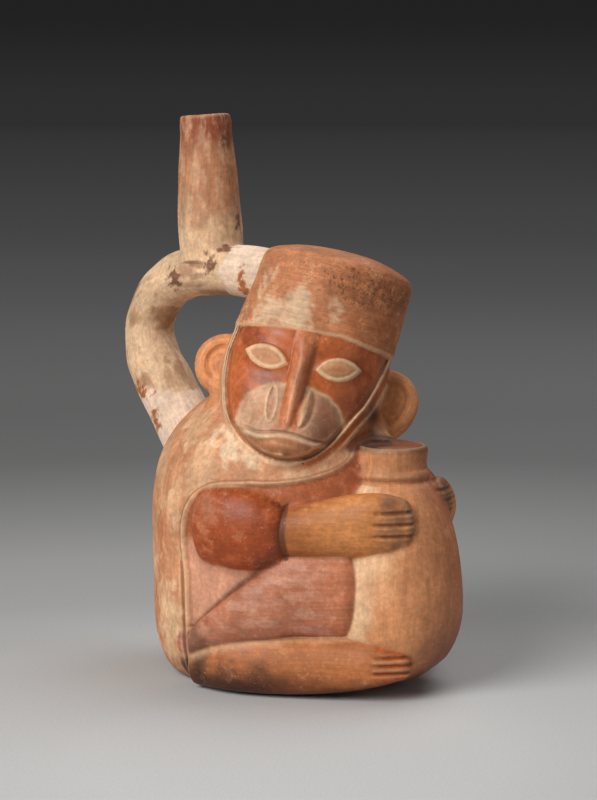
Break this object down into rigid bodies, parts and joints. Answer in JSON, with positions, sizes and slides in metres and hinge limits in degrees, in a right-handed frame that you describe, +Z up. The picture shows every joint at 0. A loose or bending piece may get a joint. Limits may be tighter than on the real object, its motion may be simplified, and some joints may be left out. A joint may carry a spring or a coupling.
{
  "type": "stirrup-spout effigy bottle",
  "caption": "Fired-clay bottle shaped as a seated monkey in cap and cape holding a jar, with a hollow stirrup handle and spout on its back to fill, carry and pour.",
  "frame": {"origin": "centre of the flat underside, on the axis of the round body", "axes": "+Z up; the figure faces -Y, its left side is +X, and the stirrup stands in the YZ plane behind it"},
  "size_m": [0.1352, 0.1919, 0.24],
  "materials": {
    "cape_slip": "buff-orange slip, burnished, mottled with cream",
    "bare_clay": "unpainted fired clay, matt",
    "red_slip": "dark red slip, burnished",
    "ochre_slip": "ochre slip, burnished",
    "jar_slip": "buff slip, burnished upright",
    "ear_slip": "orange slip, burnished",
    "cap_slip": "brown-red slip, worn and pitted",
    "cream_slip": "cream slip, streaked with brown",
    "spout_slip": "orange-brown slip over cream, brushed lengthways",
    "plaster": "old repair plaster, matt, off-white"
  },
  "bodies": {
    "root": {"body_front_half": "cape_slip", "body_back_half": "cape_slip", "base_disc": "bare_clay", "right_arm": "red_slip", "left_arm": "red_slip", "right_leg": "ochre_slip", "left_leg": "ochre_slip", "jar_body": "jar_slip", "jar_collar": "jar_slip", "head_front_half": "red_slip", "head_back_half": "cape_slip", "right_ear": "ear_slip", "left_ear": "ear_slip", "cap_band": "cap_slip", "cap_top": "cap_slip", "front_joint_fill": "plaster", "stirrup_front_arch": "cream_slip", "stirrup_rear_arch": "cream_slip", "rear_joint_fill": "plaster", "spout": "spout_slip"}
  },
  "joints": []
}
